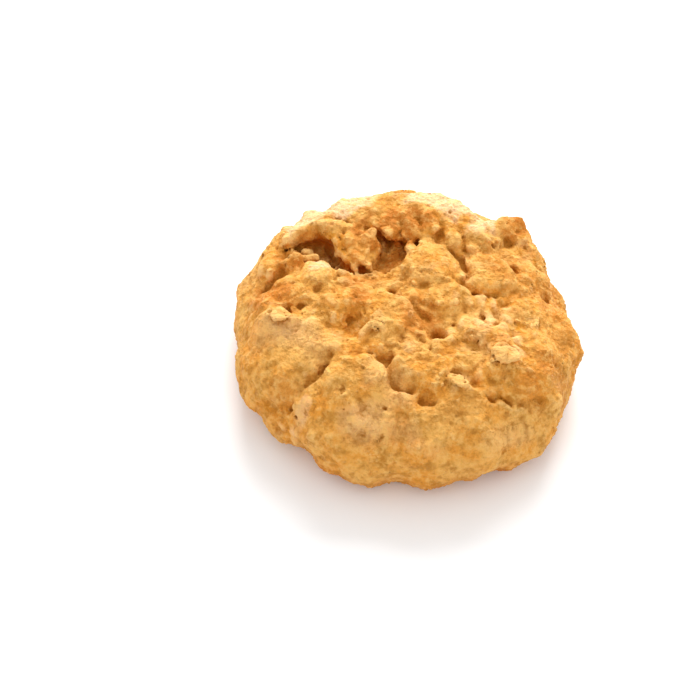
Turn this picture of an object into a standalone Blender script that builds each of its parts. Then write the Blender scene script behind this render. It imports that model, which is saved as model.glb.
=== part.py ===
"""Anzac cookie: a thick, domed oat biscuit with a craggy top and smooth pored sides.

The biscuit lies flat on its baked bottom, with the craggy top up.  The origin is the
centre of the bottom, +Z is up and -Y is the side that is seen first.

It is modelled in millimetres in five steps and then scaled to metres:
  1. a dome, from an outline radius and a rounded side profile, with a trough cut in it
  2. the thick ridge behind the trough, and the nub beside it, merged with the dome
  3. the caves that run in under the ridge, the knobs of the lip that hangs over them, and
     the clump of crumbs that hangs between them
  4. the relief: lumps, cracks and pits, which move the surface along its normals
  5. oat flakes and crumbs, joined to the surface by one Boolean union
"""
import math
import random

import bmesh
import bpy
import numpy as np
from mathutils import Matrix, Vector
from mathutils.bvhtree import BVHTree

# ---------------------------------------------------------------- driving sizes, mm
MM = 0.001                    # one millimetre in metres

MEAN_RADIUS = 33.7            # of the outline, at its widest level
DOME_HEIGHT = 19.6            # top of the bare dome over the table
WIDEST_LEVEL = 6.5            # height at which the side is widest
UNDERCUT_DEPTH = 8.5          # how deep the side's lower curve would run without the table
SIDE_POWER = 4.0              # 2 is an ellipse; more gives a flatter top and steeper sides
# The outline's uneven roundness: number of waves, mm, direction of the first peak in degrees
OUTLINE_WAVES = ((2, 0.85, -53.0), (3, 0.15, -36.0), (4, 0.55, -39.0), (5, 0.25, -30.0))
# Shallow dents in the outline: direction and half-width in degrees, depth
OUTLINE_DENTS = ((73.0, 6.0, 1.0), (127.0, 9.0, 2.4), (229.0, 10.0, 1.0), (261.0, 12.0, 0.8))

# The ridge along the far rim: centre x, y, half-width; it stands on the dome
RIDGE = (
    (-26.4, 11.6, 2.4),
    (-20.8, 17.4, 3.2),
    (-16.0, 19.6, 4.0),
    (-11.5, 22.0, 3.6),
    (-7.0, 22.6, 3.2),
    (-3.6, 20.6, 4.4),
    (2.0, 19.6, 5.0),
    (8.0, 19.2, 4.2),
    (13.0, 18.0, 3.2),
    (18.4, 16.4, 2.6),
)
RIDGE_LIFT = 0.7              # how far the ridge's middle line lies above the bare dome
RIDGE_FLATNESS = 0.50         # height of its section over its width
RIDGE_STEP = 1.2              # between the balls that make it up
# Its rows of balls, of which the last two fill the fall behind it: how far outward and down
# each lies from the middle line, as shares of the half-width
RIDGE_ROWS = ((0.0, 0.0), (0.3, 0.45), (0.4, 0.9))
# The toasted nub at the far right: centre x, y, z and radius of each of its knobs
NUB = (
    (20.6, 18.9, 17.8, 2.3),
    (21.5, 19.8, 18.4, 1.7),
    (19.7, 19.2, 18.8, 1.6),
    (21.8, 17.4, 16.2, 2.5),
)

# The broad trough in front of the ridge, and the notch in it: centre x, y, z and radii
TROUGHS = (
    (-15.6, 9.6, 22.0, 7.6, 4.6, 4.4),
    (-6.4, 6.6, 22.4, 8.0, 4.6, 4.4),
    (-2.6, 10.4, 21.4, 4.6, 4.6, 4.2),
    (-7.6, 18.6, 20.2, 3.2, 2.2, 2.4),
)

# Caves that run in under the ridge's lip, open to the front: centre x, y, z and radii
CAVES = (
    (-21.2, 13.4, 17.8, 2.1, 1.9, 1.1),
    (-17.2, 13.1, 18.0, 3.9, 3.9, 2.5),
    (-13.0, 10.2, 17.6, 1.7, 2.6, 1.9),
    (-9.6, 8.8, 17.4, 2.2, 1.7, 1.6),
    (-2.8, 13.2, 18.6, 3.8, 3.6, 2.1),
    (-3.4, 9.8, 19.5, 2.8, 2.8, 2.4),
    (1.6, 14.4, 18.4, 2.8, 2.0, 1.5),
)

# Knobs of the lip that hangs over the caves: centre x, y, z and radius
LIP = (
    (-22.6, 15.2, 18.2, 1.5),
    (-20.6, 16.4, 19.0, 1.5),
    (-18.6, 16.6, 19.5, 1.6),
    (-16.8, 17.2, 19.9, 1.6),
    (-15.0, 16.8, 19.9, 1.8),
    (-13.0, 17.0, 19.7, 1.6),
    (-3.0, 16.6, 19.9, 1.4),
    (-1.6, 15.8, 19.8, 1.5),
    (-0.2, 15.5, 19.8, 1.5),
    (1.2, 15.4, 19.8, 1.5),
    (2.6, 15.6, 19.8, 1.5),
    (4.0, 16.2, 19.7, 1.5),
)

# The clump of crumbs that hangs between the two wide caves: centre x, y, z and radius
CLUMP = (
    (-12.4, 14.2, 18.9, 1.6),
    (-10.2, 16.2, 19.2, 1.8),
    (-10.0, 14.4, 19.3, 2.0),
    (-7.6, 14.6, 19.3, 1.8),
    (-5.9, 13.6, 19.0, 1.3),
    (-11.4, 12.2, 18.5, 1.5),
    (-8.9, 12.2, 18.8, 1.7),
    (-6.8, 11.7, 18.6, 1.4),
    (-13.2, 12.4, 18.0, 1.0),
    (-9.6, 10.6, 17.9, 1.1),
)

# Lumps of dough: centre x, y, radius and height over the dome
LUMPS = (
    (-24.4, 10.8, 4.4, 0.9),
    (-17.2, 6.0, 4.4, 1.7),
    (-20.8, 1.4, 4.2, 1.2),
    (4.6, 6.8, 5.8, 2.3),
    (7.4, 0.4, 4.6, 1.6),
    (16.4, 5.2, 5.8, 2.1),
    (9.2, 12.2, 2.6, 1.5),
    (14.4, 13.0, 3.0, 1.3),
    (-4.6, -5.0, 6.6, 1.5),
    (-9.4, -0.8, 3.4, 1.3),
    (-14.6, -3.0, 3.8, 1.0),
    (-18.6, -8.8, 3.2, 1.3),
    (-14.8, -11.6, 3.0, 1.2),
    (-24.4, -10.6, 8.8, 1.0),
    (-0.6, -15.6, 3.0, 1.2),
    (1.8, -18.0, 3.3, 1.6),
    (4.2, -20.2, 2.6, 1.2),
    (-9.6, -19.6, 6.6, 0.9),
    (2.4, -12.0, 3.6, 1.0),
    (12.4, -9.4, 2.8, 1.3),
    (16.8, -10.8, 3.4, 1.4),
    (16.8, -15.6, 3.8, 1.7),
    (22.6, -2.0, 3.8, 1.1),
    (23.6, -9.0, 4.0, 1.1),
    (22.6, -16.4, 4.0, 0.8),
)

# Cracks: points x, y along each, half-width and depth
CRACKS = (
    (((-3.2, 1.0), (-0.4, -1.2), (2.2, -3.8), (3.6, -5.4), (5.2, -7.8)), 0.8, 1.7),
    (((8.8, 10.0), (11.2, 8.4), (11.4, 5.4), (9.6, 2.8), (11.9, 0.4)), 1.0, 2.2),
    (((11.9, 0.4), (14.3, -0.4), (17.4, 0.6), (20.6, 1.8)), 0.9, 1.7),
    (((-7.2, -12.8), (-4.4, -13.8), (-3.6, -16.4), (-2.8, -18.8), (-1.4, -20.6), (0.8, -21.6)), 1.1, 2.6),
    (((-13.4, -12.2), (-15.0, -13.8), (-16.0, -15.8), (-18.2, -17.8), (-20.2, -19.0)), 0.8, 1.8),
    (((-20.6, -19.8), (-23.6, -20.0), (-26.2, -19.2)), 0.7, 1.3),
    (((-26.6, 5.6), (-24.2, 7.4), (-22.2, 9.4), (-21.0, 11.6)), 1.2, 1.8),
    (((14.0, -17.8), (16.2, -18.8), (18.8, -17.4)), 0.8, 1.5),
    (((14.4, -23.4), (16.6, -23.0), (18.2, -22.4)), 0.8, 1.2),
)

# Pits: centre x, y, radius and depth
PITS = (
    (3.0, -23.3, 1.4, 1.9),
    (4.7, -24.3, 1.2, 1.4),
    (-3.8, -14.6, 1.7, 1.8),
    (12.2, -19.4, 1.5, 2.2),
    (8.8, -18.2, 1.8, 0.7),
    (5.4, -8.3, 1.7, 2.0),
    (9.9, -11.8, 2.0, 1.1),
    (21.6, -21.9, 1.0, 0.8),
    (-11.4, -5.9, 2.2, 1.0),
    (-6.4, -8.6, 1.6, 0.7),
    (-15.4, -13.9, 1.3, 1.2),
    (-30.0, -0.1, 1.0, 1.0),
    (-22.4, -2.8, 1.1, 1.1),
    (-7.8, -23.9, 1.2, 0.8),
    (-1.0, -26.4, 1.5, 0.5),
    (-12.9, -20.8, 1.4, 0.5),
    (-21.8, -23.2, 0.9, 1.1),
    (20.8, 14.8, 0.9, 1.0),
    (27.0, 3.6, 1.1, 1.2),
)

# Bumps on the side: direction in degrees, height, radius and how far they stand out
SIDE_BUMPS = (
    (211.0, 9.0, 3.0, 0.9),
    (221.0, 13.0, 2.2, 0.9),
    (229.0, 10.6, 2.2, 1.1),
    (218.0, 8.4, 2.0, 0.8),
    (237.0, 12.4, 2.0, 0.7),
    (222.0, 3.4, 3.0, 0.9),
    (236.0, 2.6, 3.2, 0.6),
    (256.0, 2.0, 4.4, 0.9),
    (275.0, 2.4, 4.0, 0.5),
    (292.0, 2.0, 3.0, 0.7),
    (304.0, 1.8, 3.4, 0.8),
    (322.0, 2.6, 4.0, 0.6),
    (352.0, 6.0, 6.0, 0.5),
    (85.0, 15.0, 3.4, 1.2),
    (92.0, 14.4, 4.0, 1.0),
    (104.0, 14.6, 3.0, 0.6),
    (140.0, 4.0, 5.0, 0.7),
    (118.0, 3.0, 4.0, 0.8),
    (74.0, 3.4, 4.6, 0.9),
    (48.0, 2.6, 4.0, 0.7),
    (22.0, 3.0, 4.0, 0.8),
)

# Where the top is smooth instead of craggy: centre x, y and radius
SMOOTH_SPOTS = (
    (-9.0, -24.0, 9.6),
    (6.0, -29.0, 8.0),
    (-26.0, -12.0, 7.6),
    (-5.6, 4.4, 4.0),
    (-14.0, 24.0, 8.4),
    (2.0, 25.0, 9.0),
    (17.0, 23.0, 7.0),
)

# Small lumps that fill the craggy top, by a rule
SMALL_LUMPS_SEED = 4
SMALL_LUMP_SPACING = 3.4
SMALL_LUMP_RADIUS = (1.6, 2.9)
SMALL_LUMP_HEIGHT = (0.4, 1.3)
ROUGH_TOP_REACH = (0.66, 0.84)  # share of the outline radius over which the top turns smooth

# Oat flakes that show: centre x, y, length, turn in degrees, tilt in degrees
SHOWN_FLAKES = (
    (-2.2, 1.4, 5.4, 12.0, 6.0),
    (14.8, 10.2, 4.6, -15.0, 8.0),
    (18.3, -15.0, 5.6, 22.0, 8.0),
    (21.8, -7.0, 5.0, 8.0, 6.0),
    (17.6, -4.4, 5.0, -24.0, 6.0),
    (11.8, -9.0, 5.0, 10.0, 6.0),
    (-19.4, -22.4, 4.6, -38.0, 8.0),
    (-14.4, -9.4, 5.0, -32.0, 8.0),
)
FLAKE_SEED = 11
FLAKE_COUNT = 24
FLAKE_LENGTH = (3.2, 4.8)
FLAKE_TILT = (4.0, 20.0)      # from the surface, in degrees
FLAKE_WIDTH_SHARE = 0.72
FLAKE_THICKNESS = 0.9
FLAKE_BEND = -0.15            # fall of a flake's ends, over a quarter of its length
FLAKE_SIDES = 8
FLAKE_SINK = 0.10             # how far a flake's middle lies under the surface
CRUMB_COUNT = 14
CRUMB_RADIUS = (0.7, 1.1)

VOXEL = 0.5                   # spacing of the surface's points before it is simplified
SURFACE_TRIANGLES = 8800      # of the dough, without flakes and crumbs
LEAST_BOTTOM = 0.35           # what lies lower than this is pressed flat on the table

DOUGH_COLOUR = (0.76, 0.40, 0.13, 1.0)
DOUGH_ROUGHNESS = 0.75


# ---------------------------------------------------------------- the bare dome
def outline_radius(angle):
    """Radius of the outline at its widest level, in the direction angle."""
    radius = MEAN_RADIUS + 0.0 * angle
    for waves, size, peak in OUTLINE_WAVES:
        radius = radius + size * np.cos(waves * (angle - math.radians(peak)))
    for direction, half_width, depth in OUTLINE_DENTS:
        away = (angle - math.radians(direction) + math.pi) % (2.0 * math.pi) - math.pi
        radius = radius - depth * np.exp(-(away / math.radians(half_width)) ** 2)
    return radius


def dome_height(x, y):
    """Height of the bare dome over the point x, y."""
    share = np.hypot(x, y) / outline_radius(np.arctan2(y, x))
    rise = np.sqrt(np.clip(1.0 - share ** SIDE_POWER, 0.0, 1.0))
    return WIDEST_LEVEL + (DOME_HEIGHT - WIDEST_LEVEL) * rise


def on_dome(direction):
    """Point of the dome that lies in a direction from the middle of its widest level."""
    x, y, z = direction
    reach = math.hypot(x, y) / outline_radius(math.atan2(y, x))
    height = z / (DOME_HEIGHT - WIDEST_LEVEL if z > 0 else UNDERCUT_DEPTH)
    # reach^4 s^4 + height^2 s^2 = 1, solved for the distance s
    fourth = max(reach ** SIDE_POWER, 1e-12)
    square = (-height ** 2 + math.sqrt(height ** 4 + 4.0 * fourth)) / (2.0 * fourth)
    s = math.sqrt(square)
    return Vector((x * s, y * s, max(WIDEST_LEVEL + z * s, 0.0)))


def dome_mesh():
    """The bare dome, as points spread over a flattened ball and moved out to it."""
    bm = bmesh.new()
    bmesh.ops.create_icosphere(bm, subdivisions=6, radius=1.0)
    for vert in bm.verts:
        x, y, z = vert.co
        vert.co = on_dome((x * MEAN_RADIUS, y * MEAN_RADIUS, z * DOME_HEIGHT * 0.5))
    return bm


# ---------------------------------------------------------------- small helpers
def ball(bm, centre, radii, fineness=3, turn=None):
    """Add an ellipsoid to bm and return its vertices."""
    place = Matrix.Translation(centre) @ (turn or Matrix.Identity(4)) @ Matrix.Diagonal((*radii, 1.0))
    return bmesh.ops.create_icosphere(bm, subdivisions=fineness, radius=1.0, matrix=place)["verts"]


def new_object(name, bm):
    """Turn bm into an object of the scene."""
    mesh = bpy.data.meshes.new(name)
    bm.to_mesh(mesh)
    bm.free()
    obj = bpy.data.objects.new(name, mesh)
    bpy.context.scene.collection.objects.link(obj)
    return obj


def apply_modifiers(obj):
    """Replace the object's mesh by what its modifiers make of it."""
    graph = bpy.context.evaluated_depsgraph_get()
    mesh = bpy.data.meshes.new_from_object(obj.evaluated_get(graph))
    obj.modifiers.clear()
    old = obj.data
    obj.data = mesh
    bpy.data.meshes.remove(old)


def remove_object(obj):
    """Remove an object and its mesh."""
    mesh = obj.data
    bpy.data.objects.remove(obj)
    bpy.data.meshes.remove(mesh)


def mesh_points(mesh):
    """The mesh's points and normals as arrays of rows."""
    points = np.empty(len(mesh.vertices) * 3)
    normals = np.empty(len(mesh.vertices) * 3)
    mesh.vertices.foreach_get("co", points)
    mesh.vertex_normals.foreach_get("vector", normals)
    return points.reshape(-1, 3), normals.reshape(-1, 3)


def smooth_step(low, high, value):
    """0 below low, 1 above high and a smooth rise between them."""
    t = np.clip((value - low) / (high - low), 0.0, 1.0)
    return t * t * (3.0 - 2.0 * t)


def distance_to_path(x, y, path):
    """Distance in plan from each point to a line through the path's points."""
    nearest = np.full(x.shape, 1e9)
    for (ax, ay), (bx, by) in zip(path, path[1:]):
        dx, dy = bx - ax, by - ay
        t = np.clip(((x - ax) * dx + (y - ay) * dy) / (dx * dx + dy * dy), 0.0, 1.0)
        nearest = np.minimum(nearest, np.hypot(x - ax - t * dx, y - ay - t * dy))
    return nearest


# ---------------------------------------------------------------- trough, ridge, caves and clump
def cut_hollows(dome, hollows):
    """Cut egg-shaped hollows: the trough before the ridge, or the caves under it."""
    bm = bmesh.new()
    for x, y, z, rx, ry, rz in hollows:
        ball(bm, (x, y, z), (rx, ry, rz), 4)
    cutter = new_object("hollows", bm)
    cutter.hide_render = True
    cutter.display_type = "WIRE"
    cut = dome.modifiers.new("hollows", "BOOLEAN")
    cut.operation = "DIFFERENCE"
    cut.object = cutter
    cut.use_self = True
    apply_modifiers(dome)
    remove_object(cutter)


def ridge_balls():
    """Centres and radii of the flattened balls that make up the ridge, and of the nub."""
    for (ax, ay, aw), (bx, by, bw) in zip(RIDGE, RIDGE[1:]):
        steps = max(2, round(math.hypot(bx - ax, by - ay) / RIDGE_STEP))
        for i in range(steps):
            t = i / steps
            x, y, width = ax + (bx - ax) * t, ay + (by - ay) * t, aw + (bw - aw) * t
            z = float(dome_height(x, y)) + RIDGE_LIFT
            for outward, down in RIDGE_ROWS:
                push = 1.0 + outward * width / math.hypot(x, y)
                yield (x * push, y * push, z - down * width), (width, width, width * RIDGE_FLATNESS)
    for x, y, z, radius in NUB:
        yield (x, y, z), (radius, radius, radius)


def clump_balls():
    """Centres and radii of the lip's knobs and the clump's crumbs."""
    for x, y, z, radius in LIP + CLUMP:
        yield (x, y, z), (radius, radius, radius)


def merge_balls(dome, balls):
    """Add overlapping balls and merge all into one softened skin."""
    bm = bmesh.new()
    bm.from_mesh(dome.data)
    for centre, radii in balls:
        ball(bm, centre, radii)
    bm.to_mesh(dome.data)
    bm.free()
    merge = dome.modifiers.new("merge", "REMESH")
    merge.mode = "VOXEL"
    merge.voxel_size = VOXEL
    soften = dome.modifiers.new("soften", "SMOOTH")
    soften.factor = 0.5
    soften.iterations = 2
    apply_modifiers(dome)


# ---------------------------------------------------------------- relief of the dough
def small_lumps():
    """Places, radii and heights of the lumps that fill the craggy top."""
    draw = random.Random(SMALL_LUMPS_SEED)
    lumps = []
    rows = int(MEAN_RADIUS / SMALL_LUMP_SPACING) + 1
    for row in range(-rows, rows + 1):
        for column in range(-rows, rows + 1):
            x = (column + 0.5 * (row % 2) + draw.uniform(-0.35, 0.35)) * SMALL_LUMP_SPACING
            y = (row + draw.uniform(-0.35, 0.35)) * SMALL_LUMP_SPACING * 0.87
            radius = draw.uniform(*SMALL_LUMP_RADIUS)
            height = draw.uniform(*SMALL_LUMP_HEIGHT)
            if math.hypot(x, y) < MEAN_RADIUS * ROUGH_TOP_REACH[1]:
                lumps.append((x, y, radius, height))
    return lumps


def raised(x, y, lumps, edge):
    """Height of flat-topped lumps with steep sides; where two meet, the higher one counts."""
    height_there = np.zeros(len(x))
    for cx, cy, radius, height in lumps:
        inward = 1.0 - np.hypot(x - cx, y - cy) / radius
        bulge = height * (0.75 * smooth_step(0.0, edge, inward) + 0.25 * np.clip(inward, 0.0, 1.0))
        height_there = np.maximum(height_there, bulge)
    return height_there


def relief(points, normals):
    """How far each point of the surface moves out along its normal."""
    x, y, z = points.T
    share = np.hypot(x, y) / outline_radius(np.arctan2(y, x))
    upward = smooth_step(0.1, 0.5, normals[:, 2])
    rough = upward * (1.0 - smooth_step(*ROUGH_TOP_REACH, share))
    for cx, cy, radius in SMOOTH_SPOTS:
        rough *= smooth_step(0.75, 1.05, np.hypot(x - cx, y - cy) / radius)

    large = raised(x, y, LUMPS, 0.35)
    small = raised(x, y, small_lumps(), 0.5)
    move = large * upward + small * rough * (1.0 - 0.8 * smooth_step(0.4, 1.2, large))

    for path, half_width, depth in CRACKS:
        near = np.clip(1.0 - distance_to_path(x, y, path) / half_width, 0.0, 1.0)
        move -= depth * near * upward
    for cx, cy, radius, depth in PITS:
        fall = np.clip(1.0 - ((x - cx) ** 2 + (y - cy) ** 2) / radius ** 2, 0.0, 1.0)
        move -= depth * np.sqrt(fall) * upward

    # The whole side swells and sinks a little on its way round
    angle = np.arctan2(y, x)
    for direction, height, radius, out in SIDE_BUMPS:
        turn = math.radians(direction)
        reach = float(outline_radius(turn))
        away = (x - reach * math.cos(turn)) ** 2 + (y - reach * math.sin(turn)) ** 2 + (z - height) ** 2
        move += out * np.clip(1.0 - away / radius ** 2, 0.0, 1.0)
    swell = 0.35 * np.sin(7.0 * angle + 0.25 * z) + 0.25 * np.sin(12.0 * angle - 0.4 * z + 1.0)
    return move + swell * smooth_step(0.6, 0.95, share)


def move_points(mesh, points):
    """Give the mesh new places for its points, with the lowest pressed flat on the table."""
    points[:, 2] = np.where(points[:, 2] < LEAST_BOTTOM, 0.0, points[:, 2])
    mesh.vertices.foreach_set("co", points.ravel())
    mesh.update()


def shape_surface(dough):
    """Move the surface by its relief, press the bottom flat and simplify the mesh."""
    points, normals = mesh_points(dough.data)
    move_points(dough.data, points + normals * relief(points, normals)[:, None])
    simplify = dough.modifiers.new("simplify", "DECIMATE")
    simplify.ratio = SURFACE_TRIANGLES / (2.0 * len(dough.data.polygons))
    simplify.use_collapse_triangulate = True
    apply_modifiers(dough)


# ---------------------------------------------------------------- oat flakes and crumbs
def flake(bm, place, length, bend):
    """Add one rolled-oat flake: a thin, slightly cupped oval with a rounded rim."""
    across = length * FLAKE_WIDTH_SHARE
    layers = ((-0.5, 0.78), (0.0, 1.0), (0.5, 0.78))
    rings = []
    for level, spread in layers:
        ring = []
        for i in range(FLAKE_SIDES):
            angle = 2.0 * math.pi * i / FLAKE_SIDES
            x = 0.5 * length * spread * math.cos(angle)
            y = 0.5 * across * spread * math.sin(angle)
            z = level * FLAKE_THICKNESS + bend * (x * x) / length
            ring.append(bm.verts.new(place @ Vector((x, y, z))))
        rings.append(ring)
    for lower, upper in zip(rings, rings[1:]):
        for i in range(FLAKE_SIDES):
            j = (i + 1) % FLAKE_SIDES
            bm.faces.new((lower[i], lower[j], upper[j], upper[i]))
    bm.faces.new(reversed(rings[0]))
    bm.faces.new(rings[-1])


def surface_frame(tree, x, y):
    """Place on the surface over x, y, with its Z axis along the surface's normal."""
    hit, normal, _, _ = tree.ray_cast(Vector((x, y, 2.0 * DOME_HEIGHT)), Vector((0.0, 0.0, -1.0)))
    lean = Vector((0.0, 0.0, 1.0)).rotation_difference(normal.lerp(Vector((0.0, 0.0, 1.0)), 0.5))
    return Matrix.Translation(hit) @ lean.to_matrix().to_4x4()


def topping_objects(dough):
    """The flakes and crumbs, each a closed object in one collection."""
    tree = BVHTree.FromObject(dough, bpy.context.evaluated_depsgraph_get())
    toppings = bpy.data.collections.new("toppings")
    bpy.context.scene.collection.children.link(toppings)
    draw = random.Random(FLAKE_SEED)
    flakes = list(SHOWN_FLAKES)
    for _ in range(FLAKE_COUNT):
        radius = MEAN_RADIUS * 0.86 * math.sqrt(draw.random())
        angle = draw.uniform(0.0, 2.0 * math.pi)
        spot = (radius * math.cos(angle), radius * math.sin(angle))
        if min(math.dist(spot, other[:2]) for other in flakes) > 0.8 * FLAKE_LENGTH[1]:
            turn = draw.uniform(0.0, 180.0)
            flakes.append((*spot, draw.uniform(*FLAKE_LENGTH), turn, draw.uniform(*FLAKE_TILT)))
    for number, (x, y, length, turn, tilt) in enumerate(flakes):
        place = surface_frame(tree, x, y) @ Matrix.Rotation(math.radians(turn), 4, "Z")
        place = place @ Matrix.Rotation(math.radians(tilt), 4, "X")
        place = place @ Matrix.Translation((0.0, 0.0, -FLAKE_SINK))
        bm = bmesh.new()
        flake(bm, place, length, FLAKE_BEND)
        obj = new_object("flake_%02d" % number, bm)
        toppings.objects.link(obj)
    for number in range(CRUMB_COUNT):
        radius = MEAN_RADIUS * 0.8 * math.sqrt(draw.random())
        angle = draw.uniform(0.0, 2.0 * math.pi)
        size = draw.uniform(*CRUMB_RADIUS)
        place = surface_frame(tree, radius * math.cos(angle), radius * math.sin(angle))
        bm = bmesh.new()
        ball(bm, place.translation, (size, size * draw.uniform(0.7, 1.0), size * 0.8), 1)
        obj = new_object("crumb_%02d" % number, bm)
        toppings.objects.link(obj)
    return toppings


def keep_largest_shell(mesh):
    """Drop loose scraps and sealed hollows, so that one closed body is left."""
    bm = bmesh.new()
    bm.from_mesh(mesh)
    shells = []
    unseen = set(bm.verts)
    while unseen:
        shell = []
        stack = [unseen.pop()]
        while stack:
            vert = stack.pop()
            shell.append(vert)
            for edge in vert.link_edges:
                other = edge.other_vert(vert)
                if other in unseen:
                    unseen.remove(other)
                    stack.append(other)
        shells.append(shell)
    shells.sort(key=len)
    for shell in shells[:-1]:
        bmesh.ops.delete(bm, geom=shell, context="VERTS")
    bm.to_mesh(mesh)
    bm.free()


def join_toppings(dough):
    """Join all flakes and crumbs to the dough by one union, then remove them."""
    toppings = topping_objects(dough)
    join = dough.modifiers.new("toppings", "BOOLEAN")
    join.operation = "UNION"
    join.operand_type = "COLLECTION"
    join.collection = toppings
    join.solver = "EXACT"
    apply_modifiers(dough)
    for obj in list(toppings.objects):
        remove_object(obj)
    bpy.data.collections.remove(toppings)
    keep_largest_shell(dough.data)
    # Simplifying leaves the bottom a few microns uneven, so it is pressed flat again
    points, _ = mesh_points(dough.data)
    move_points(dough.data, points)


# ---------------------------------------------------------------- finishing
def baked_dough():
    """Golden baked dough: matte, without metal."""
    material = bpy.data.materials.new("baked_dough")
    material.use_nodes = True
    shader = material.node_tree.nodes["Principled BSDF"]
    shader.inputs["Base Color"].default_value = DOUGH_COLOUR
    shader.inputs["Roughness"].default_value = DOUGH_ROUGHNESS
    shader.inputs["Metallic"].default_value = 0.0
    return material


def centre_and_scale(cookie):
    """Put the middle of the bottom at the origin and turn millimetres into metres."""
    points, _ = mesh_points(cookie.data)
    low, high = points.min(axis=0), points.max(axis=0)
    middle = Vector(((low[0] + high[0]) / 2.0, (low[1] + high[1]) / 2.0, low[2]))
    cookie.data.transform(Matrix.Scale(MM, 4) @ Matrix.Translation(-middle))


def main():
    for obj in list(bpy.data.objects):
        bpy.data.objects.remove(obj)
    cookie = new_object("cookie", dome_mesh())
    cut_hollows(cookie, TROUGHS)
    merge_balls(cookie, ridge_balls())
    cut_hollows(cookie, CAVES)
    merge_balls(cookie, clump_balls())
    shape_surface(cookie)
    join_toppings(cookie)
    centre_and_scale(cookie)
    cookie.data.materials.clear()
    cookie.data.materials.append(baked_dough())
    cookie.data.shade_smooth()


main()
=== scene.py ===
"""Looks of the anzac cookie: a thick oat biscuit, golden and craggy on top.

The crust is grown as a volume of distances, sampled every few tenths of a millimetre.
Dough lumps, a heavy ridge, cracks, pits, crumbs and rolled oats are added to it or cut
from it, and its zero surface is then turned into the mesh.
All sizes are in millimetres until the mesh is made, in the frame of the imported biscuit.
"""
import itertools
import math
import random

import bpy
import numpy as np
from mathutils import Matrix, Vector


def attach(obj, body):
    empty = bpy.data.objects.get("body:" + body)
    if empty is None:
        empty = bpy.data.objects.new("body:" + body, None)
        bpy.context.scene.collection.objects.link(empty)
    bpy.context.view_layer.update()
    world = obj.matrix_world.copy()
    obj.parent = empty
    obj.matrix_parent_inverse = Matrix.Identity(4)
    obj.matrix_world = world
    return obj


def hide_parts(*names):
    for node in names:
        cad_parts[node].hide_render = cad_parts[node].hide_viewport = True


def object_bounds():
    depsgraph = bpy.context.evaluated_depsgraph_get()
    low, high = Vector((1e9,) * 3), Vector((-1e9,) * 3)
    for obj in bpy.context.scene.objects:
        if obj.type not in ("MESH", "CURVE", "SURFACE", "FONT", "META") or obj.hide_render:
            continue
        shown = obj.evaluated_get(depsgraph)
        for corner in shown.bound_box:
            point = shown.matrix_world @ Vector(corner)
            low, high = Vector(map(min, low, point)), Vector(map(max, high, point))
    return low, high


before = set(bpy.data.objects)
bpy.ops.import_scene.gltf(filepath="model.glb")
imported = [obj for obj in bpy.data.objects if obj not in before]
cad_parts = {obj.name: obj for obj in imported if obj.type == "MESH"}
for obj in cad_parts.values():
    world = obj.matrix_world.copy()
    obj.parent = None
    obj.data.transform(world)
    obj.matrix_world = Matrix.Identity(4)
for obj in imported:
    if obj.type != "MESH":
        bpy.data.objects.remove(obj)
cad_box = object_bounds()

MM = 0.001  # one millimetre in metres

# ---------------- the biscuit's form, mm
MEAN_RADIUS = 33.7
DOME_HEIGHT = 19.6
WIDEST_LEVEL = 6.5
UNDERCUT_DEPTH = 8.5  # half-height of the lower half, which the table cuts short
SIDE_POWER = 4.0  # 2 would make the section an ellipse, and more makes it boxier
# Uneven roundness of the outline: number of waves, size, direction of the first peak
OUTLINE_WAVES = ((2, 0.85, -53.0), (3, 0.15, -36.0), (4, 0.55, -39.0), (5, 0.25, -30.0))
# Shallow dents in the outline: direction and half-width in degrees, depth
OUTLINE_DENTS = ((73.0, 6.0, 1.0), (127.0, 9.0, 2.4), (229.0, 10.0, 1.0), (261.0, 12.0, 0.8))

# The ridge along the far rim: centre x, y, half-width; it hangs over the caves
RIDGE = (
    (-26.4, 11.6, 2.4),
    (-20.8, 17.4, 3.2),
    (-16.0, 19.6, 4.0),
    (-11.5, 22.0, 3.6),
    (-7.0, 22.6, 3.2),
    (-3.6, 20.6, 4.4),
    (2.0, 19.6, 5.0),
    (8.0, 19.2, 4.2),
    (13.0, 18.0, 3.2),
    (18.4, 16.4, 2.6),
)
RIDGE_LIFT = 0.7  # how far its middle line lies above the bare dome
RIDGE_FLATNESS = 0.50  # height of its section over its width
RIDGE_STEP = 1.2  # between the balls that make it up
# Its rows of balls, of which the last two fill the fall behind it: how far outward and down
# each lies from the middle line, as shares of the half-width
RIDGE_ROWS = ((0.0, 0.0), (0.3, 0.45), (0.4, 0.9))

# The broad trough in front of the ridge, and the notch in it: centre x, y, z and radii
TROUGHS = (
    (-15.6, 9.6, 22.0, 7.6, 4.6, 4.4),
    (-6.4, 6.6, 22.4, 8.0, 4.6, 4.4),
    (-2.6, 10.4, 21.4, 4.6, 4.6, 4.2),
    (-7.6, 18.6, 20.2, 3.2, 2.2, 2.4),
)

# Caves that run in under the ridge's lip, open to the front: centre x, y, z and radii
CAVES = (
    (-21.2, 13.4, 17.8, 2.1, 1.9, 1.1),
    (-17.2, 13.1, 18.0, 3.9, 3.9, 2.5),
    (-13.0, 10.2, 17.6, 1.7, 2.6, 1.9),
    (-9.6, 8.8, 17.4, 2.2, 1.7, 1.6),
    (-2.8, 13.2, 18.6, 3.8, 3.6, 2.1),
    (-3.4, 9.8, 19.5, 2.8, 2.8, 2.4),
    (1.6, 14.4, 18.4, 2.8, 2.0, 1.5),
)

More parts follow.
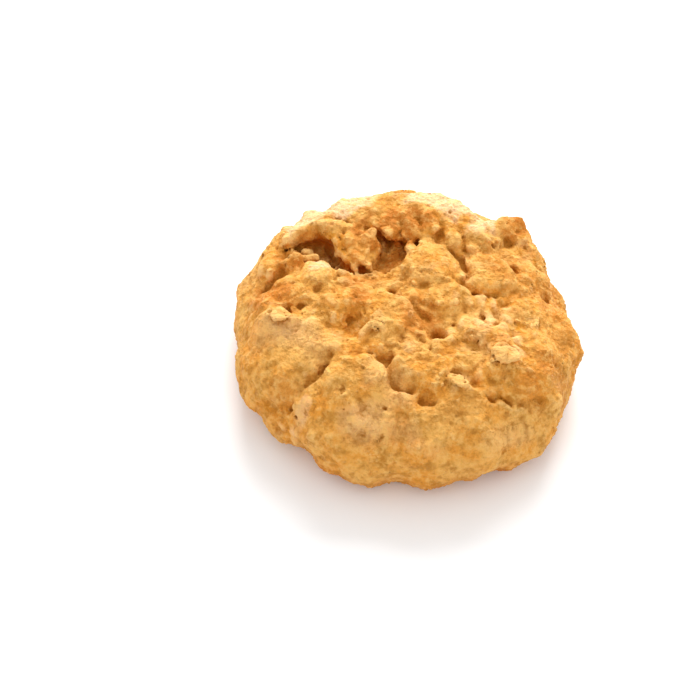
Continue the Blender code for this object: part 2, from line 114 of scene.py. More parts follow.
# Knobs of the lip that hangs over the caves: centre x, y, z and radius
LIP = (
    (-22.6, 15.2, 18.2, 1.5),
    (-20.6, 16.4, 19.0, 1.5),
    (-18.6, 16.6, 19.5, 1.6),
    (-16.8, 17.2, 19.9, 1.6),
    (-15.0, 16.8, 19.9, 1.8),
    (-13.0, 17.0, 19.7, 1.6),
    (-3.0, 16.6, 19.9, 1.4),
    (-1.6, 15.8, 19.8, 1.5),
    (-0.2, 15.5, 19.8, 1.5),
    (1.2, 15.4, 19.8, 1.5),
    (2.6, 15.6, 19.8, 1.5),
    (4.0, 16.2, 19.7, 1.5),
)

# The clump of crumbs that hangs between the two wide caves: centre x, y, z and radius
CLUMP = (
    (-12.4, 14.2, 18.9, 1.6),
    (-10.2, 16.2, 19.2, 1.8),
    (-10.0, 14.4, 19.3, 2.0),
    (-7.6, 14.6, 19.3, 1.8),
    (-5.9, 13.6, 19.0, 1.3),
    (-11.4, 12.2, 18.5, 1.5),
    (-8.9, 12.2, 18.8, 1.7),
    (-6.8, 11.7, 18.6, 1.4),
    (-13.2, 12.4, 18.0, 1.0),
    (-9.6, 10.6, 17.9, 1.1),
)
LIP_SWELL = 0.5  # how much the knobs and crumbs are plumper than named

# Crumbs that lie in the mouth of the left cave: centre x, y, z and radius
FALLEN_CRUMBS = (
    (-20.4, 10.2, 17.8, 1.2),
    (-18.4, 10.6, 16.6, 1.1),
    (-22.2, 9.4, 17.3, 1.1),
    (-16.4, 9.2, 17.2, 0.8),
    (-19.8, 12.4, 16.4, 1.2),
    (-21.6, 12.0, 17.4, 0.9),
)

# The toasted nub at the far right: centre x, y, z and radius of each of its knobs
NUB = (
    (20.6, 18.9, 17.8, 2.3),
    (21.5, 19.8, 18.4, 1.7),
    (19.7, 19.2, 18.8, 1.6),
    (21.8, 17.4, 16.2, 2.5),
)

# Lumps of dough: centre x, y, radius and height over the dome
LUMPS = (
    (-24.4, 10.8, 4.4, 0.9),
    (-17.2, 6.0, 4.4, 1.7),
    (-20.8, 1.4, 4.2, 1.2),
    (4.6, 6.8, 5.8, 2.3),
    (7.4, 0.4, 4.6, 1.6),
    (16.4, 5.2, 5.8, 2.1),
    (9.2, 12.2, 2.6, 1.5),
    (14.4, 13.0, 3.0, 1.3),
    (-4.6, -5.0, 6.6, 1.5),
    (-9.4, -0.8, 3.4, 1.3),
    (-14.6, -3.0, 3.8, 1.0),
    (-18.6, -8.8, 3.2, 1.3),
    (-14.8, -11.6, 3.0, 1.2),
    (-24.4, -10.6, 8.8, 1.0),
    (-0.6, -15.6, 3.0, 1.2),
    (1.8, -18.0, 3.3, 1.6),
    (4.2, -20.2, 2.6, 1.2),
    (-9.6, -19.6, 6.6, 0.9),
    (2.4, -12.0, 3.6, 1.0),
    (12.4, -9.4, 2.8, 1.3),
    (16.8, -10.8, 3.4, 1.4),
    (16.8, -15.6, 3.8, 1.7),
    (22.6, -2.0, 3.8, 1.1),
    (23.6, -9.0, 4.0, 1.1),
    (22.6, -16.4, 4.0, 0.8),
)

# Cracks: points x, y along each, half-width and depth
CRACKS = (
    (((-3.2, 1.0), (-0.4, -1.2), (2.2, -3.8), (3.6, -5.4), (5.2, -7.8)), 0.8, 1.7),
    (((8.8, 10.0), (11.2, 8.4), (11.4, 5.4), (9.6, 2.8), (11.9, 0.4)), 1.0, 2.2),
    (((11.9, 0.4), (14.3, -0.4), (17.4, 0.6), (20.6, 1.8)), 0.9, 1.7),
    (((-7.2, -12.8), (-4.4, -13.8), (-3.6, -16.4), (-2.8, -18.8), (-1.4, -20.6), (0.8, -21.6)),
     1.1, 2.6),
    (((-13.4, -12.2), (-15.0, -13.8), (-16.0, -15.8), (-18.2, -17.8), (-20.2, -19.0)), 0.8, 1.8),
    (((-20.6, -19.8), (-23.6, -20.0), (-26.2, -19.2)), 0.7, 1.3),
    (((-26.6, 5.6), (-24.2, 7.4), (-22.2, 9.4), (-21.0, 11.6)), 1.2, 1.8),
    (((14.0, -17.8), (16.2, -18.8), (18.8, -17.4)), 0.8, 1.5),
    (((14.0, -20.8), (15.6, -21.6), (17.0, -20.6), (18.8, -21.0)), 0.9, 2.2),
    (((20.6, -20.6), (22.4, -20.0), (24.6, -19.4)), 0.8, 1.5),
    (((20.6, -3.6), (22.8, -4.6), (25.0, -4.8)), 0.8, 0.9),
)

CRACK_SHARPNESS = 0.75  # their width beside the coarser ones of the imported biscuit

# Pits: centre x, y, radius and depth
PITS = (
    (3.0, -23.3, 1.4, 1.5),
    (4.7, -24.3, 1.2, 1.4),
    (0.5, -21.4, 1.2, 1.2),
    (-3.8, -14.6, 1.7, 1.8),
    (12.2, -19.4, 1.5, 2.2),
    (8.8, -18.2, 1.8, 0.7),
    (5.4, -8.3, 1.7, 2.0),
    (2.2, -9.9, 0.8, 0.9),
    (9.9, -11.8, 2.0, 1.1),
    (-10.4, -5.8, 3.0, 1.2),
    (-6.4, -8.6, 1.6, 0.7),
    (-15.4, -13.9, 1.3, 1.2),
    (-20.3, -19.7, 1.0, 1.2),
    (-30.0, -0.1, 1.0, 1.0),
    (-22.4, -2.8, 1.1, 1.1),
    (-19.8, -1.8, 0.8, 1.1),
    (-24.2, -0.2, 0.7, 0.7),
    (-7.8, -23.9, 1.2, 0.8),
    (-1.0, -26.4, 1.5, 0.5),
    (-4.3, -27.8, 0.6, 0.7),
    (-12.9, -20.8, 1.4, 0.5),
    (-21.8, -23.2, 0.9, 1.1),
    (20.8, 14.8, 0.8, 1.0),
    (21.0, 8.4, 0.9, 0.9),
    (27.0, 3.6, 1.1, 1.2),
    (14.3, -4.4, 0.7, 1.0),
)

# Bumps on the side: direction in degrees, height, radius and how far they stand out
SIDE_BUMPS = (
    (211.0, 9.0, 3.0, 0.9),
    (221.0, 13.0, 2.2, 0.9),
    (229.0, 10.6, 2.2, 1.1),
    (218.0, 8.4, 2.0, 0.8),
    (237.0, 12.4, 2.0, 0.7),
    (222.0, 3.4, 3.0, 0.9),
    (236.0, 2.6, 3.2, 0.6),
    (256.0, 2.0, 4.4, 0.9),
    (275.0, 2.4, 4.0, 0.5),
    (292.0, 2.0, 3.0, 0.7),
    (304.0, 1.8, 3.4, 0.8),
    (322.0, 2.6, 4.0, 0.6),
    (352.0, 6.0, 6.0, 0.5),
    (85.0, 15.0, 3.4, 1.2),
    (92.0, 14.4, 4.0, 1.0),
    (104.0, 14.6, 3.0, 0.6),
    (140.0, 4.0, 5.0, 0.7),
    (118.0, 3.0, 4.0, 0.8),
    (74.0, 3.4, 4.6, 0.9),
    (48.0, 2.6, 4.0, 0.7),
    (22.0, 3.0, 4.0, 0.8),
)

# Uneven baking, with painted shade and painted light among it: centre x, y, radius and how much
# browner, or paler where negative
BAKING_AND_SHADING = (
    # From here to (-19.5, 20.5): the paler far rim, partly uneven baking and partly a painted
    # highlight where the lamp grazes it
    (-12.0, 26.0, 9.0, -0.9),
    (6.0, 27.0, 10.0, -0.9),
    (15.0, 21.5, 8.0, -0.9),
    (9.5, 20.5, 5.0, -0.8),
    (-21.0, 17.4, 4.0, -0.6),
    (-19.5, 20.5, 6.0, -0.7),
    (-9.4, 4.4, 4.6, 0.75),
    (18.0, 10.0, 6.0, 0.3),
    (19.5, -8.0, 6.0, 0.25),
    # A paler near side: painted light where the lamp reaches less
    (-6.0, -29.0, 10.0, -0.18),
    (-16.6, 7.4, 2.8, -0.6),
    (-24.0, -19.0, 4.0, 0.5),
    (-19.5, -22.5, 2.6, -0.5),
    (-9.4, 14.0, 4.0, 0.5),
    # From here to (-19.8, 14.6): painted shade under the lip and in the caves
    (-8.6, 18.4, 3.8, 0.9),
    (-18.6, 15.2, 2.8, 0.9),
    (-2.4, 17.0, 3.6, 1.0),
    (3.0, 16.6, 3.6, 1.0),
    (0.6, 15.0, 3.4, 0.5),
    (-1.2, 11.8, 2.8, 1.1),
    (-4.0, 15.2, 2.2, 0.7),
    (0.5, 12.6, 2.2, 0.7),
    (-6.1, 14.9, 2.2, 0.5),
    (-8.6, 9.8, 2.6, 0.5),
    (-19.8, 14.6, 2.0, 0.5),
    (-26.0, 1.6, 6.0, 0.85),
    (25.0, 6.0, 9.0, 0.55),
    (31.0, -6.0, 6.0, 0.35),
    (2.0, -4.8, 4.8, 0.6),
    (-9.1, -1.2, 2.6, 0.8),
    (-22.0, -3.6, 2.6, 0.6),
    (-23.0, 8.8, 3.0, 0.8),
    (-20.0, 10.6, 3.6, 0.6),
    (20.8, 18.4, 3.6, 1.4),
    (16.8, -11.4, 3.2, 0.6),
    (27.0, -14.0, 4.4, 0.6),
    (22.0, -19.0, 4.0, 0.4),
    (6.4, 3.6, 2.2, 0.4),
    (16.6, 6.6, 2.2, 0.4),
)

# Where the top is smooth instead of craggy: centre x, y and radius
SMOOTH_SPOTS = (
    (-9.0, -24.0, 9.6),
    (6.0, -29.0, 8.0),
    (-26.0, -12.0, 7.6),
    (-5.6, 4.4, 4.0),
    (-14.0, 24.0, 8.4),
    (2.0, 25.0, 9.0),
    (9.5, 21.5, 5.5),
    (17.0, 23.0, 7.0),
)

# Where the side is torn and craggy too: centre x, y, z and radius
TORN_SPOTS = (
    (-23.0, -21.0, 9.0, 6.5),
    (-27.0, 0.5, 15.5, 5.5),
    (-26.5, 8.0, 15.0, 4.5),
)

# Random small lumps that fill the craggy top
SMALL_LUMPS_SEED = 4
SMALL_LUMP_SPACING = 3.4
SMALL_LUMP_RADIUS = (1.6, 2.9)
SMALL_LUMP_HEIGHT = (0.4, 1.3)

RELIEF_LEVELS = (5.0, 30.0)  # lumps, cracks and pits are worked out between these heights
ROUGH_TOP_REACH = (0.66, 0.84)  # the craggy top fades out here, in shares of the outline
LUMP_EDGE = 0.35  # share of a lump's radius over which its side rises
SMALL_LUMP_EDGE = 0.5
CUT_POWER = 0.7  # below 1, so that cracks and pits have steep sides
PIT_DEEPER = 1.3  # the softening fills pits in again by about this much

# Rounding where forms meet
TROUGH_ROUNDING = 1.0
RIDGE_ROUNDING = 0.8
CAVE_ROUNDING = 0.4
CLUMP_ROUNDING = 0.5
FOOT_ROUNDING = 0.8
FLAKE_ROUNDING = 0.2
FLAKE_RIM_ROUNDING = 0.5
LOOSE_CRUMB_ROUNDING = 0.25
PORE_ROUNDING = 0.15
SOFTENING = 0.3  # reach of the means that round off all thin forms

# Waves that climb aslant round the side: size, how many, turn for each mm of height, start
SIDE_WAVES = ((0.35, 7.0, 0.25, 0.0), (0.25, 12.0, -0.4, 1.0))

# Layers of soft noise: size of the features, height and seed
BENDS = ((6.0, 0.75, 10), (2.6, 0.35, 20), (1.2, 0.16, 30))
ROUGH_TOP_EDGE = ((5.0, 0.05, 40),)
CRAGGINESS = ((6.0, 0.35, 44),)
FOOT_EDGE = ((3.6, 1.5, 46),)
TOAST_TONES = ((5.0, 0.2, 47),)
SLOW_SWELL = ((7.0, 0.35, 41),)
UNEVENNESS = ((3.6, 0.6, 45), (2.0, 0.4, 39))
RAGGED_EDGE = ((1.5, 0.45, 48),)
FRAYED_EDGE = ((1.5, 0.3, 49),)
FINE_DENTS = ((0.9, 0.12, 43),)

# Crumbs that break up the surface: size, height and seed
COARSE_CRUMBS = (3.2, 1.1, 60)
MIDDLE_CRUMBS = (1.7, 0.75, 61)
FINE_CRUMBS = (0.95, 0.4, 62)
CRUMB_EDGE = 0.22  # share of its size over which a crumb's side rises
CRUMB_REACH = 1.6  # from the surface to where they are worked out at most
SPLINTER_REACH = 0.6  # of the cube of samples that tells what is a thin splinter
SPLINTER_SHARES = (0.36, 0.18)  # a splinter thins out while less of the cube is filled

# Shares of a spot's radius between which it comes in or goes out
SMOOTH_SPOT_FADE = (0.75, 1.05)
TORN_SPOT_FADE = (1.0, 0.6)
BAKING_AND_SHADING_FADE = (1.0, 0.4)
# The browner foot, partly browned in baking and partly painted shade near the table: how much, and
# the heights between which it comes in
FOOT_BROWN_AND_SHADE = 0.7
FOOT_LEVELS = (8.0, 1.0)
# Heights between which the spots of BAKING_AND_SHADING come in, on the far rim and elsewhere
FAR_RIM = 15.0  # y beyond which a spot is on the far rim
FAR_RIM_LEVELS = (14.0, 19.0)
SPOT_LEVELS = (3.0, 8.0)

# Oat flakes that show: centre x, y, length, turn in degrees, tilt in degrees
SHOWN_FLAKES = (
    (-2.2, 1.4, 5.4, 12.0, 6.0),
    (14.8, 10.2, 4.6, -15.0, 8.0),
    (18.3, -15.0, 5.4, 22.0, 4.0),
    (21.8, -7.0, 5.0, 8.0, 6.0),
    (17.6, -4.4, 5.0, -24.0, 6.0),
    (11.8, -9.0, 5.0, 10.0, 6.0),
    (-19.4, -22.4, 4.6, -38.0, 8.0),
    (-14.4, -9.4, 5.0, -32.0, 8.0),
)

# Their thickness, the bend of their edge over their length, down where negative, and paleness
SHOWN_FLAKE_BUILD = (0.8, -0.05, 0.3)
SHOWN_FLAKE_SINK = 0.45  # how deep the middle lies under the surface
FLAKE_HALF_WIDTH = 0.36  # of a flake's length

# Random flakes between them, and the ranges of their length, thickness, bend and paleness
LOOSE_FLAKES = 28
LOOSE_FLAKE_RANGES = ((3.8, 5.6), (0.6, 0.9), (-0.12, 0.0), (0.0, 0.4))
FLAKE_PLACES_SEED = 6
FLAKE_SIZES_SEED = 5
LOOSE_FLAKE_LEAN = 0.12  # radians
LOOSE_FLAKE_SINK = 0.5
LOOSE_FLAKE_LEVELLING = 2.0  # they lie more level than the surface under them
LOOSE_FLAKE_PLACES = 0.8  # only where the crust is at least this craggy

# The oval round the caves, in plan, that gets no random flakes and no pores
CAVES_MIDDLE = (-7.0, 14.0)
CAVES_REACH = (13.0, 6.5)

# Round crumbs and pores: how many, radii and seed
TOP_CRUMBS = (200, (0.3, 0.6), 50)
SIDE_CRUMBS = (60, (0.3, 0.6), 52)
TOP_PORES = (110, (0.25, 0.42), 54)
SIDE_PORES = (240, (0.25, 0.45), 56)

# Reach of the means that tell peaks from hollows, and what hangs overhead, for painted highlight on
# peaks and painted shade in hollows and under overhangs
HOLLOW_REACH = 1.2
OVERHEAD_REACH = 0.9
OVERHEAD_SHIFT = 1.5
OVERHEAD_FADE = (0.78, 0.68)  # nothing counts as overhead beyond these shares of the outline

# ---------------- the volume
STEP = 0.3  # between samples
FAR_OFF = 3.0  # distances beyond this one make no difference
SPANS = ((-36.6, 36.6), (-36.6, 36.6), (-1.2, 25.2))
AXES = [np.arange(low, high, STEP, dtype=np.float32) for low, high in SPANS]
MOST_TRIANGLES = 190000  # the mesh is simplified to this many


def spline_weights(axis, cell):
    """Weights that carry a coarse row of values to an axis's samples by a cubic spline."""
    place = (axis - axis[0]) / cell
    first = place.astype(int)
    t = place - first
    weights = np.zeros((len(axis), first.max() + 4), np.float32)
    rows = np.arange(len(axis))
    shapes = ((1 - t) ** 3, 3 * t ** 3 - 6 * t ** 2 + 4,
              -3 * t ** 3 + 3 * t ** 2 + 3 * t + 1, t ** 3)
    for offset, shape in enumerate(shapes):
        weights[rows, first + offset] = shape / 6.0
    return weights


def soft_noise(cell, seed):
    """Smooth random values over the volume, about -1 to 1, with features of about cell mm."""
    wx, wy, wz = (spline_weights(axis, cell) for axis in AXES)
    draw = np.random.default_rng(seed)
    lattice = draw.standard_normal((wx.shape[1], wy.shape[1], wz.shape[1])).astype(np.float32)
    values = np.einsum("kc,abc->abk", wz, lattice, optimize=True)
    values = np.einsum("jb,abk->ajk", wy, values, optimize=True)
    # The spline evens the values out, so they are raised to about 1 again
    return np.einsum("ia,ajk->ijk", wx, values, optimize=True) * np.float32(1.8)


def layered_noise(layers, shift=0):
    """Sum of layers of soft noise, each with its seed raised by shift."""
    return sum(size * soft_noise(cell, seed + shift) for cell, size, seed in layers)


def smooth_step(low, high, value):
    """0 below low, 1 above high and a smooth rise between them."""
    t = np.clip((value - low) / (high - low), 0.0, 1.0)
    return t * t * (3.0 - 2.0 * t)


def blend_min(a, b, width):
    """The lower of two distances, rounded where they meet."""
    near = np.clip(width - np.abs(a - b), 0.0, None) / width
    return np.minimum(a, b) - near * near * (width * 0.25)


def blend_max(a, b, width):
    """The higher of two distances, rounded where they meet."""
    return -blend_min(-a, -b, width)


def outline_radius(angle):
    """Radius of the outline at its widest level, in the direction angle."""
    radius = MEAN_RADIUS + 0.0 * angle
    for waves, size, peak in OUTLINE_WAVES:
        radius = radius + size * np.cos(waves * (angle - math.radians(peak)))
    for direction, half_width, depth in OUTLINE_DENTS:
        away = (angle - math.radians(direction) + math.pi) % (2.0 * math.pi) - math.pi
        radius = radius - depth * np.exp(-(away / math.radians(half_width)) ** 2)
    return radius


def dome_height(x, y):
    """Height of the bare dome over the point x, y."""
    share = np.hypot(x, y) / outline_radius(np.arctan2(y, x))
    rise = np.sqrt(np.clip(1.0 - share ** SIDE_POWER, 0.0, 1.0))
    return WIDEST_LEVEL + (DOME_HEIGHT - WIDEST_LEVEL) * rise


def window(*ranges):
    """Index ranges of the samples that lie within low, high along each axis."""
    slices = []
    for axis, (low, high) in zip(AXES, ranges):
        first = max(0, int((low - axis[0]) / STEP))
        slices.append(slice(first, max(first + 1, int((high - axis[0]) / STEP) + 2)))
    return tuple(slices)


def ball_window(centre, reach):
    """Index ranges of the samples within reach of a point."""
    return window(*((c - reach, c + reach) for c in centre))


def column_window(x, y, reach):
    """Index ranges of the samples over a square in plan, at the heights of the relief."""
    return window((x - reach, x + reach), (y - reach, y + reach), RELIEF_LEVELS)


def distance(places, centre, w=slice(None)):
    """Distance of the samples in a window, or of all, from a point."""
    return np.sqrt(sum((values[w] - c) ** 2 for values, c in zip(places, centre)))


def small_lumps():
    """Places, radii and heights of the lumps that fill the craggy top."""
    draw = random.Random(SMALL_LUMPS_SEED)
    lumps = []
    rows = int(MEAN_RADIUS / SMALL_LUMP_SPACING) + 1
    for row in range(-rows, rows + 1):
        for column in range(-rows, rows + 1):
            x = (column + 0.5 * (row % 2) + draw.uniform(-0.35, 0.35)) * SMALL_LUMP_SPACING
            y = (row + draw.uniform(-0.35, 0.35)) * SMALL_LUMP_SPACING * 0.87
            radius = draw.uniform(*SMALL_LUMP_RADIUS)
            height = draw.uniform(*SMALL_LUMP_HEIGHT)
            if math.hypot(x, y) < MEAN_RADIUS * ROUGH_TOP_REACH[1]:
                lumps.append((x, y, radius, height))
    return lumps


def raise_lumps(relief, lumps, x, y, edge):
    """Raise flat-topped lumps with steep sides; where two meet, the higher one counts."""
    for cx, cy, radius, height in lumps:
        w = column_window(cx, cy, radius + 1.5)
        away = np.hypot(x[w] - cx, y[w] - cy) / radius
        flat_top = 0.75 * smooth_step(0.0, edge, 1.0 - away)
        bulge = height * (flat_top + 0.25 * np.clip(1.0 - away, 0.0, 1.0))
        relief[w] = np.maximum(relief[w], bulge)


def crumb_cells(places, size, seed):
    """Depth inside random cells of about size mm, and a random value for each cell.

    The depth is 0 at the border between two cells.
    """
    grid = places / size
    cell = np.floor(grid).astype(np.int32)
    inner = (grid - cell).astype(np.float32)
    cell -= cell.min(axis=0)
    draw = np.random.default_rng(seed)
    kernels = draw.random((*(cell.max(axis=0) + 3), 4), dtype=np.float32)
    nearest = np.full(len(cell), 9.0, np.float32)
    second = nearest.copy()
    value = np.zeros(len(cell), np.float32)
    for step in itertools.product((0, 1, 2), repeat=3):
        kernel = kernels[tuple((cell + step).T)]
        gap = kernel[:, :3] + (np.array(step, np.float32) - 1.0) - inner
        away = np.sqrt(np.einsum("na,na->n", gap, gap))
        closer = away < nearest
        second = np.where(closer, nearest, np.minimum(second, away))
        value = np.where(closer, kernel[:, 3], value)
        nearest = np.minimum(nearest, away)
    return 0.5 * (second - nearest), value


def path_distance(x, y, path):
    """Distance in plan to a line through the path's points."""
    nearest = np.full(x.shape, 1e9, np.float32)
    for (ax, ay), (bx, by) in zip(path, path[1:]):
        dx, dy = bx - ax, by - ay
        t = np.clip(((x - ax) * dx + (y - ay) * dy) / (dx * dx + dy * dy), 0.0, 1.0)
        nearest = np.minimum(nearest, np.hypot(x - ax - t * dx, y - ay - t * dy))
    return nearest


class Crust:
    """The biscuit as a field of distances, negative inside, with marks of what is where."""

    def __init__(self):
        """Lay out the samples and grow the dome and its relief; flakes and pores come later."""
        self.plain = np.meshgrid(*AXES, indexing="ij")
        self.bend_samples()
        self.grow_dome()
        self.add_relief()

    def bend_samples(self):
        """Bend the sample places so that no form stays exactly round or straight."""
        self.bent = [values + layered_noise(BENDS, axis) for axis, values in enumerate(self.plain)]

    def grow_dome(self):
        """The bare dome with its troughs, its ridge and the nub."""
        x, y, z = self.plain
        reach = outline_radius(np.arctan2(y, x)).astype(np.float32)
        self.share = np.hypot(x, y) / reach
        level = z - WIDEST_LEVEL
        half = np.where(level > 0.0, DOME_HEIGHT - WIDEST_LEVEL, UNDERCUT_DEPTH)
        half = half.astype(np.float32)
        fill = self.share ** SIDE_POWER + (level / half) ** 2 - 1.0
        out = SIDE_POWER * self.share ** (SIDE_POWER - 1.0) / reach
        up = 2.0 * level / half ** 2
        steep = np.sqrt(out * out + up * up) + 1e-4
        self.upward = smooth_step(0.1, 0.5, up / steep)
        dome = (fill / steep).astype(np.float32)
        self.hull = dome.copy()
        self.hollow_out(dome, TROUGHS, TROUGH_ROUNDING)
        self.field = dome
        self.lay_ridge()
        self.add_balls(NUB, 0.0, RIDGE_ROUNDING)

    def lay_ridge(self):
        """Lay rows of flattened balls along the ridge's line."""
        bx, by, bz = self.bent
        for (ax, ay, aw), (ex, ey, ew) in zip(RIDGE, RIDGE[1:]):
            steps = max(2, round(math.hypot(ex - ax, ey - ay) / RIDGE_STEP))
            for i in range(steps):
                t = i / steps
                x0, y0, width = ax + (ex - ax) * t, ay + (ey - ay) * t, aw + (ew - aw) * t
                z0 = float(dome_height(x0, y0)) + RIDGE_LIFT
                for outward, down in RIDGE_ROWS:
                    push = 1.0 + outward * width / math.hypot(x0, y0)
                    cx, cy, cz = x0 * push, y0 * push, z0 - down * width
                    w = ball_window((cx, cy, cz), width + 2.0)
                    height = (bz[w] - cz) / RIDGE_FLATNESS
                    away = np.sqrt((bx[w] - cx) ** 2 + (by[w] - cy) ** 2 + height ** 2)
                    ball = (away - width) * RIDGE_FLATNESS
                    self.field[w] = blend_min(self.field[w], ball, RIDGE_ROUNDING)

    def add_balls(self, balls, swell, rounding):
        """Merge balls with the field, each plumper by swell than its radius."""
        for *centre, radius in balls:
            w = ball_window(centre, radius + 3.0)
            away = distance(self.bent, centre, w) - radius - swell
            self.field[w] = blend_min(self.field[w], away, rounding)

    def hollow_out(self, field, hollows, rounding):
        """Cut egg-shaped hollows into a field."""
        for hollow in hollows:
            centre, radii = hollow[:3], hollow[3:]
            w = window(*((c - r - 2, c + r + 2) for c, r in zip(centre, radii)))
            away = np.sqrt(sum(((values[w] - c) / r) ** 2
                               for values, c, r in zip(self.bent, centre, radii)))
            field[w] = blend_max(field[w], (1.0 - away) * min(radii), rounding)

    def open_caves(self):
        """Cut the caves under the lip, hang the clump between them and drop the crumbs."""
        self.hollow_out(self.field, CAVES, CAVE_ROUNDING)
        self.add_balls(LIP + CLUMP + FALLEN_CRUMBS, LIP_SWELL, CLUMP_ROUNDING)

    def break_up(self, size, height, seed, amount):
        """Break the surface into crumbs of about size mm that stand up by about height.

        Returns how far each crumb stands, from 0 to 1, and a half where there is none.
        """
        near = np.abs(self.field) < CRUMB_REACH
        places = np.stack([bent[near] for bent in self.bent], axis=1)
        depth, value = crumb_cells(places, size, seed)
        inner = smooth_step(0.0, CRUMB_EDGE, depth)
        # The lowest crumbs stand about a third as high as the highest, and the gaps between
        # them sink by as much as keeps the mean level
        self.field[near] -= height * ((0.3 + 0.7 * value) * inner - 0.45) * amount[near]
        stand = np.full(self.field.shape, 0.5, np.float32)
        stand[near] += (value - 0.5) * inner
        return stand

    def soften(self):
        """Round off what is thinner than about a millimetre."""
        self.field = box_blur(np.clip(self.field, -FAR_OFF, FAR_OFF), round(SOFTENING / STEP))

    def mark_rough(self):
        """Mark where the biscuit is craggy: most of the top, and the torn spots of the side."""
        bx, by = self.bent[:2]
        rim = smooth_step(*ROUGH_TOP_REACH, self.share + layered_noise(ROUGH_TOP_EDGE))
        self.rough = self.upward * (1.0 - rim)
        for cx, cy, radius in SMOOTH_SPOTS:
            self.rough *= smooth_step(*SMOOTH_SPOT_FADE, np.hypot(bx - cx, by - cy) / radius)
        for *centre, radius in TORN_SPOTS:
            torn = smooth_step(*TORN_SPOT_FADE, distance(self.bent, centre) / radius)
            self.rough = np.maximum(self.rough, torn)

    def raise_and_cut(self, relief, torn):
        """Cut the cracks and pits into the relief, mark them as torn, and add the side bumps."""
        bx, by, bz = self.bent
        for path, half_width, depth in CRACKS:
            xs, ys = [p[0] for p in path], [p[1] for p in path]
            w = window((min(xs) - 3, max(xs) + 3), (min(ys) - 3, max(ys) + 3), RELIEF_LEVELS)
            away = path_distance(bx[w], by[w], path) / (CRACK_SHARPNESS * half_width)
            near = np.clip(1.0 - away + self.ragged[w], 0.0, 1.0)
            relief[w] -= depth * near ** CUT_POWER * self.upward[w]
            torn[w] = np.maximum(torn[w], smooth_step(0.0, 0.4, near))
        for cx, cy, radius, depth in PITS:
            w = window((cx - radius - 2, cx + radius + 2), (cy - radius - 2, cy + radius + 2),
                       RELIEF_LEVELS)
            away = (bx[w] - cx) ** 2 + (by[w] - cy) ** 2
            fall = 1.0 - away / radius ** 2 + 1.5 * self.ragged[w]
            cut = np.clip(fall, 0.0, 1.0) ** CUT_POWER
            relief[w] -= PIT_DEEPER * depth * cut * self.upward[w]
            torn[w] = np.maximum(torn[w], smooth_step(-0.3, 0.3, fall))
        for direction, height, radius, out in SIDE_BUMPS:
            turn = math.radians(direction)
            reach = float(outline_radius(turn))
            cx, cy = reach * math.cos(turn), reach * math.sin(turn)
            w = ball_window((cx, cy, height), radius + 2.0)
            away = (bx[w] - cx) ** 2 + (by[w] - cy) ** 2 + (bz[w] - height) ** 2
            relief[w] += out * np.clip(1.0 - away / radius ** 2, 0.0, 1.0)

    def add_relief(self):
        """Add all relief to the dome, open the caves, and break the surface into crumbs."""
        x, y, z = self.plain
        self.mark_rough()
        self.ragged = layered_noise(RAGGED_EDGE)
        large = np.zeros(x.shape, np.float32)
        raise_lumps(large, LUMPS, *self.bent[:2], LUMP_EDGE)
        small = np.zeros(x.shape, np.float32)
        raise_lumps(small, small_lumps(), *self.bent[:2], SMALL_LUMP_EDGE)
        on_lump = smooth_step(0.4, 1.2, large)
        relief = large * self.upward + small * self.rough * (1.0 - 0.8 * on_lump)
        torn = np.zeros(x.shape, np.float32)
        self.raise_and_cut(relief, torn)
        angle = np.arctan2(y, x)
        waves = sum(height * np.sin(number * angle + climb * z + start)
                    for height, number, climb, start in SIDE_WAVES)
        relief += waves * smooth_step(0.6, 0.95, self.share)
        relief += layered_noise(SLOW_SWELL)
        relief += (1.0 - 0.6 * self.rough) * layered_noise(UNEVENNESS)
        self.field -= relief
        self.open_caves()
        self.soften()
        # Craggy ground is broken up in patches, and less on the large lumps
        broken = self.rough * (1.0 - 0.7 * on_lump) * (0.75 + layered_noise(CRAGGINESS))
        torn *= self.upward
        stand = self.break_up(*COARSE_CRUMBS, 0.04 + 0.96 * broken)
        self.break_up(*MIDDLE_CRUMBS, np.maximum(0.18 + 0.82 * broken, 0.8 * torn))
        self.soften()
        self.crumbly = np.maximum(1.0 - 0.2 * broken, torn)
        self.frayed = layered_noise(FRAYED_EDGE)
        self.mark_baking_and_shading()
        # The crumbs that stand highest are bare oat, and the lowest ones syrupy dough
        self.oat = broken * smooth_step(0.60, 0.85, stand)
        self.amber = broken * smooth_step(0.42, 0.15, stand)
        self.oat *= np.clip(1.0 - self.toast_and_shading, 0.0, 1.0)

    def mark_baking_and_shading(self):
        """Mark how toasted the biscuit is, below 0 where it stayed pale; the same mark carries
        painted shade and painted highlight.
        """
        bx, by, bz = self.bent
        foot = smooth_step(*FOOT_LEVELS, bz + layered_noise(FOOT_EDGE))
        self.toast_and_shading = FOOT_BROWN_AND_SHADE * foot + layered_noise(TOAST_TONES)
        for cx, cy, radius, strength in BAKING_AND_SHADING:
            w = column_window(cx, cy, 1.6 * radius + 1.0)
            away = np.hypot(bx[w] - cx, by[w] - cy) / radius
            spot = smooth_step(*BAKING_AND_SHADING_FADE, away + 0.5 * self.ragged[w])
            levels = FAR_RIM_LEVELS if cy > FAR_RIM else SPOT_LEVELS
            self.toast_and_shading[w] += strength * spot * smooth_step(*levels, bz[w])

    def surface_spots(self, count, seed, where):
        """Random places on the surface, with their outward directions, where a mask is high."""
        close = np.argwhere((np.abs(self.field) < 0.5 * STEP) & (where > 0.5))
        picks = close[np.random.default_rng(seed).integers(0, len(close), count)]
        picks = np.clip(picks, 1, np.array(self.field.shape) - 2)
        slope = np.empty((count, 3))
        for axis in range(3):
            ahead, behind = picks.copy(), picks.copy()
            ahead[:, axis] += 1
            behind[:, axis] -= 1
            slope[:, axis] = self.field[tuple(ahead.T)] - self.field[tuple(behind.T)]
        slope /= np.linalg.norm(slope, axis=1)[:, None] + 1e-6
        places = np.stack([AXES[axis][picks[:, axis]] for axis in range(3)], axis=1)
        return places.astype(float), slope

